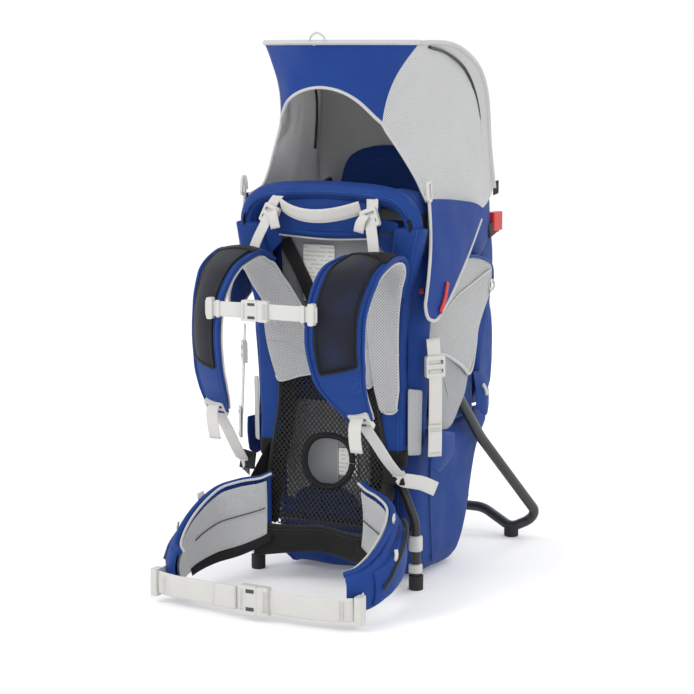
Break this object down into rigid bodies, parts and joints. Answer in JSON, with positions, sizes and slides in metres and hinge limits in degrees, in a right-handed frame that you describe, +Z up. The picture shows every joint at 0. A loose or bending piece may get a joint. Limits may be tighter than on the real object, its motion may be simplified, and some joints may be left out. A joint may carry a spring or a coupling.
{
  "type": "child carrier backpack",
  "caption": "Framed child carrier backpack with padded harness and hip belt, mesh back panel, cockpit seat, folding kickstand and hooped sunshade.",
  "frame": {"origin": "on the floor, under the middle of the standing carrier", "axes": "+Z up, -Y towards the wearer, +X to the right when the harness is looked at"},
  "size_m": [0.3918, 0.7293, 0.895],
  "materials": {
    "frame_black": "satin",
    "stand_grey": "satin",
    "pin_steel": "brushed",
    "rubber": "matt",
    "blue_fabric": "ripstop weave",
    "shade_blue": "ripstop weave",
    "black_fabric": "plain weave",
    "black_mesh": "open hexagonal mesh",
    "grey_mesh": "spacer mesh",
    "grey_lining": "plain weave",
    "webbing": "ribbed webbing",
    "piping": "bound edge",
    "label": null,
    "red_fabric": "plain weave",
    "white_plastic": "satin moulded",
    "red_plastic": "gloss moulded"
  },
  "bodies": {
    "pack": {"back_panel_mesh": "black_mesh", "belt_loops": "white_plastic", "belt_socket": "white_plastic", "belt_webs": "webbing", "care_label": "label", "cockpit_rim": "blue_fabric", "cockpit_shell": "grey_lining", "corner_patches": "black_fabric", "cross_bars": "frame_black", "cross_panel": "blue_fabric", "frame_feet": "rubber", "frame_tube": "frame_black", "hand_hole_rim": "black_fabric", "headrest": "blue_fabric", "hip_wing_left": "blue_fabric", "hip_wing_right": "blue_fabric", "kickstand_brackets": "frame_black", "kickstand_pins": "pin_steel", "load_lifter_locks": "white_plastic", "load_lifter_webs": "webbing", "lower_bag": "blue_fabric", "lumbar_pad": "black_fabric", "rail_covers": "blue_fabric", "rail_end_caps": "rubber", "rear_buckles": "red_plastic", "rear_pack": "blue_fabric", "shoulder_webs": "webbing", "side_pockets": "grey_mesh", "side_strap_locks": "white_plastic", "side_straps": "webbing", "stabiliser_tails": "webbing", "top_hoop_pad": "blue_fabric"},
    "kickstand": {"kickstand_tube": "stand_grey", "kickstand_feet": "rubber"},
    "sunshade": {"shade_wire": "piping", "shade_front": "shade_blue", "shade_sides": "grey_mesh", "shade_roof": "shade_blue", "shade_flaps": "shade_blue", "shade_tabs": "red_fabric", "shade_hooks": "white_plastic"},
    "harness": {"yoke_pad": "grey_mesh", "shoulder_strap_left": "blue_fabric", "shoulder_strap_right": "blue_fabric"},
    "shoulder_lock_left": {"shoulder_lock_left": "white_plastic"},
    "shoulder_lock_right": {"shoulder_lock_right": "white_plastic"},
    "sternum_strap": {"sternum_sliders": "white_plastic", "sternum_webs": "webbing", "sternum_socket": "white_plastic"},
    "sternum_plug": {"sternum_plug": "white_plastic"},
    "belt_plug": {"belt_plug": "white_plastic"},
    "grab_handle": {"grab_handle": "webbing"},
    "child_seat": {"seat_pad": "grey_lining", "seat_back": "grey_lining", "child_straps": "blue_fabric", "child_harness_hardware": "red_plastic"},
    "stirrup_left": {"stirrup_left": "blue_fabric"},
    "stirrup_right": {"stirrup_right": "blue_fabric"},
    "hip_zip_left": {"hip_zip_pull_left": "webbing"},
    "hip_zip_right": {"hip_zip_pull_right": "webbing"}
  },
  "joints": [
    {"name": "kickstand_fold", "type": "hinge", "parent": "pack", "child": "kickstand", "pos_m": [0, -0.01216, 0.387], "axis": [-1, 0, 0], "range_deg": [0, 36]},
    {"name": "sunshade_fold", "type": "hinge", "parent": "pack", "child": "sunshade", "pos_m": [0, 0.18284, 0.636], "axis": [-1, 0, 0], "range_deg": [0, 60]},
    {"name": "torso_height", "type": "slide", "parent": "pack", "child": "harness", "axis": [0, 0, 1], "range_m": [-0.05, 0.025], "deforming": ["shoulder_webs", "load_lifter_webs"]},
    {"name": "shoulder_lock_tilt_left", "type": "hinge", "parent": "harness", "child": "shoulder_lock_left", "pos_m": [-0.132, -0.24316, 0.325], "axis": [1, 0, 0], "range_deg": [-25, 10]},
    {"name": "shoulder_lock_tilt_right", "type": "hinge", "parent": "harness", "child": "shoulder_lock_right", "pos_m": [0.132, -0.24316, 0.325], "axis": [1, 0, 0], "range_deg": [-25, 10]},
    {"name": "sternum_height", "type": "slide", "parent": "harness", "child": "sternum_strap", "axis": [0, 0, 1], "range_m": [-0.03, 0.02]},
    {"name": "sternum_release", "type": "slide", "parent": "sternum_strap", "child": "sternum_plug", "axis": [1, 0, 0], "range_m": [0, 0.024], "deforming": ["sternum_webs"]},
    {"name": "belt_release", "type": "slide", "parent": "pack", "child": "belt_plug", "axis": [1, 0, 0], "range_m": [0, 0.03], "deforming": ["belt_webs"]},
    {"name": "handle_lift", "type": "hinge", "parent": "pack", "child": "grab_handle", "pos_m": [0, -0.12166, 0.628], "axis": [-1, 0, 0], "range_deg": [0, 90]},
    {"name": "seat_height", "type": "slide", "parent": "pack", "child": "child_seat", "axis": [0, 0, 1], "range_m": [-0.03, 0.03]},
    {"name": "stirrup_height_left", "type": "slide", "parent": "pack", "child": "stirrup_left", "axis": [0, 0, 1], "range_m": [0, 0.03]},
    {"name": "stirrup_height_right", "type": "slide", "parent": "pack", "child": "stirrup_right", "axis": [0, 0, 1], "range_m": [0, 0.03]},
    {"name": "hip_zip_slide_left", "type": "slide", "parent": "pack", "child": "hip_zip_left", "axis": [0.3162, 0.9487, 0], "range_m": [-0.018, 0.035]},
    {"name": "hip_zip_slide_right", "type": "slide", "parent": "pack", "child": "hip_zip_right", "axis": [-0.3162, 0.9487, 0], "range_m": [-0.018, 0.035]}
  ]
}
